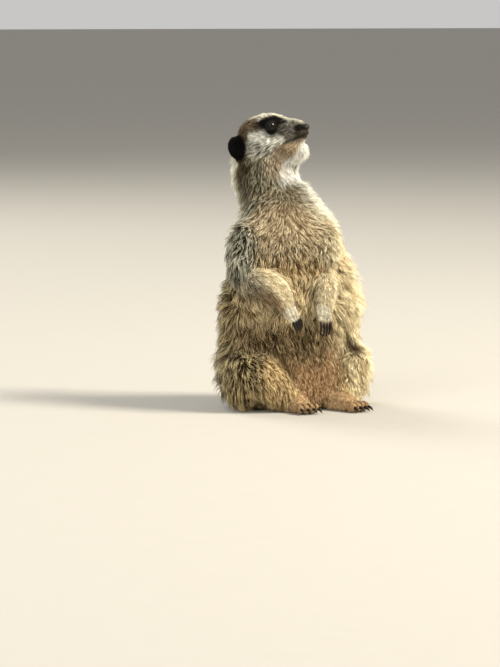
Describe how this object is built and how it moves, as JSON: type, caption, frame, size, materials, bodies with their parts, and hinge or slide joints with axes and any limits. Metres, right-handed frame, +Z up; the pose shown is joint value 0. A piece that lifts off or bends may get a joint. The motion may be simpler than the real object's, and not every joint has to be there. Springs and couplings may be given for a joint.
{
  "type": "meerkat",
  "caption": "Life-size still model of a meerkat sitting upright on its rump, forearms hanging over the belly, head turned to its left and raised, tail laid on the ground behind.",
  "frame": {"origin": "on the floor, under the middle of the rump's seat", "axes": "+X to the animal's left, -Y the way the body faces, +Z up"},
  "size_m": [0.1816, 0.2407, 0.2614],
  "materials": {
    "coat_grizzled": "grizzled grey-brown and golden fur, dark underneath with pale tips",
    "coat_pale": "short pale golden fur",
    "coat_face": "short fur, brown crown, dark eye patches and whitish cheeks",
    "coat_dark": "short blackish brown fur",
    "ear": "short black fur",
    "eye": "wet dark brown eye",
    "nose_pad": "bare dark brown skin, slightly moist",
    "claw": "dark horn"
  },
  "bodies": {
    "root": {"trunk": "coat_grizzled", "neck": "coat_grizzled", "head": "coat_face", "nose": "nose_pad", "eye_l": "eye", "ear_l": "ear", "upper_arm_l": "coat_grizzled", "forearm_l": "coat_pale", "forepaw_l": "coat_pale", "thigh_l": "coat_grizzled", "shank_l": "coat_pale", "hind_foot_l": "coat_pale", "fore_claw_l_1": "claw", "hind_claw_l_1": "claw", "fore_claw_l_2": "claw", "hind_claw_l_2": "claw", "fore_claw_l_3": "claw", "hind_claw_l_3": "claw", "fore_claw_l_4": "claw", "hind_claw_l_4": "claw", "eye_r": "eye", "ear_r": "ear", "upper_arm_r": "coat_grizzled", "forearm_r": "coat_pale", "forepaw_r": "coat_pale", "thigh_r": "coat_grizzled", "shank_r": "coat_pale", "hind_foot_r": "coat_pale", "fore_claw_r_1": "claw", "hind_claw_r_1": "claw", "fore_claw_r_2": "claw", "hind_claw_r_2": "claw", "fore_claw_r_3": "claw", "hind_claw_r_3": "claw", "fore_claw_r_4": "claw", "hind_claw_r_4": "claw", "tail_base": "coat_grizzled", "tail_middle": "coat_grizzled", "tail_tip": "coat_dark"}
  },
  "joints": []
}
